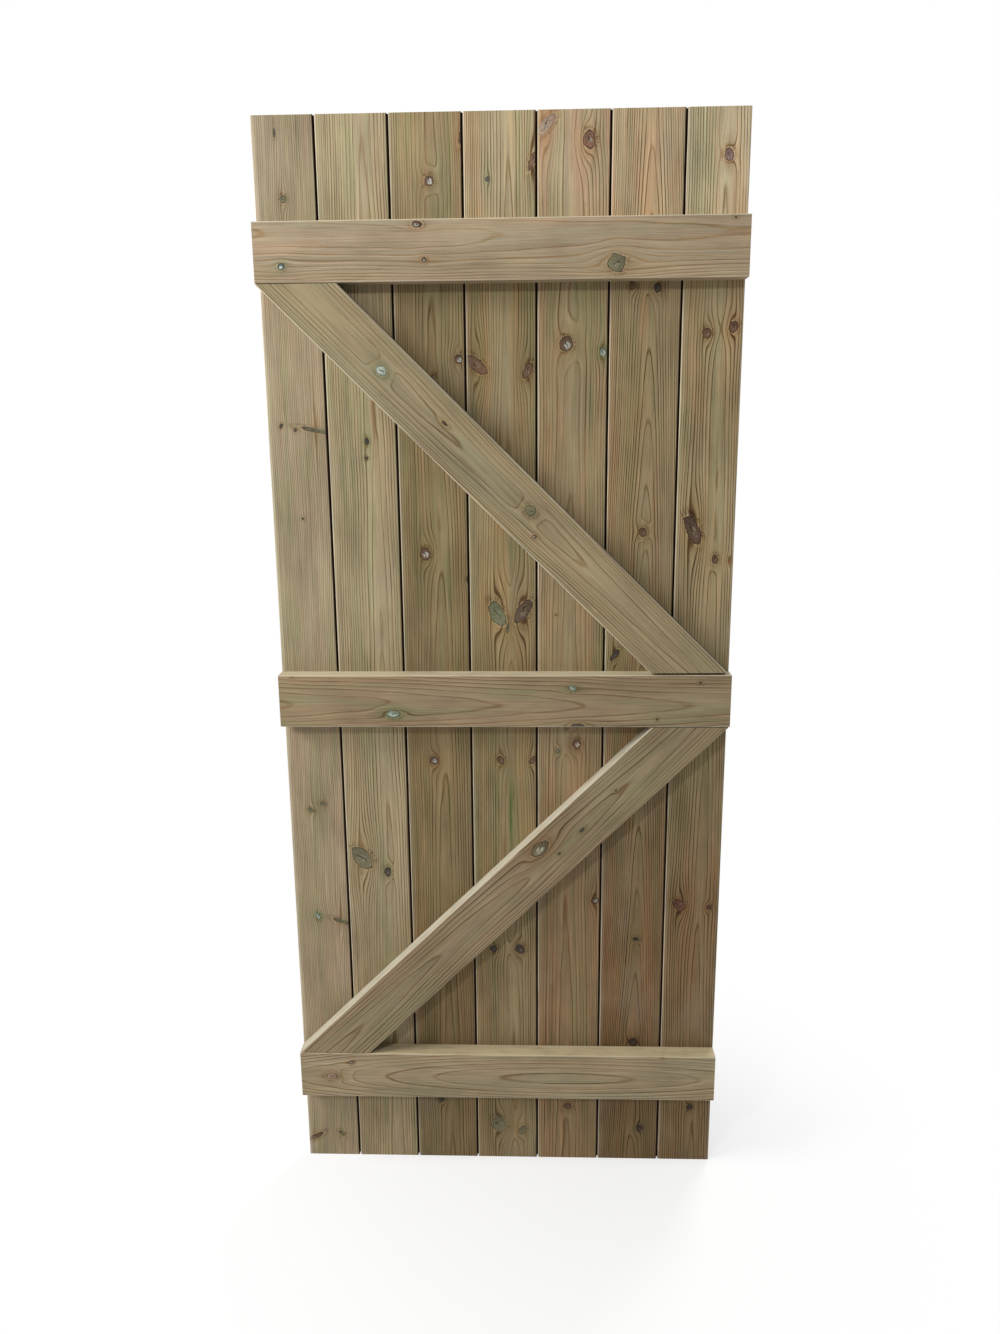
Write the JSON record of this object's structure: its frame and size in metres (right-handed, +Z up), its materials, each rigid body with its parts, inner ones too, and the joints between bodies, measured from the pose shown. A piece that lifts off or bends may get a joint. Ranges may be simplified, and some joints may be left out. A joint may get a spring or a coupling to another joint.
{
  "type": "ledged and braced matchboard garden gate leaf",
  "caption": "Flat top garden gate leaf of upright tongued and grooved pine boards on level ledges, with a zigzag pair of diagonal braces.",
  "frame": {"origin": "middle of the lower hinge's seat, on the front face of the bottom ledge, 45 mm in from the left edge", "axes": "+Z up, +X from the hung edge to the other edge, -Y out of the ledged side, +Y out of the plain face"},
  "size_m": [0.762, 0.052, 1.829],
  "materials": {
    "boards": "planed pressure-treated pine, olive tan with knots",
    "ledges": "planed pressure-treated pine, paler olive tan",
    "braces": "planed pressure-treated pine, straight close grain"
  },
  "bodies": {
    "root": {"board_1": "boards", "board_2": "boards", "board_3": "boards", "board_4": "boards", "board_5": "boards", "board_6": "boards", "board_7": "boards", "ledge_top": "ledges", "ledge_middle": "ledges", "ledge_bottom": "ledges", "brace_upper": "braces", "brace_lower": "braces"}
  },
  "joints": []
}
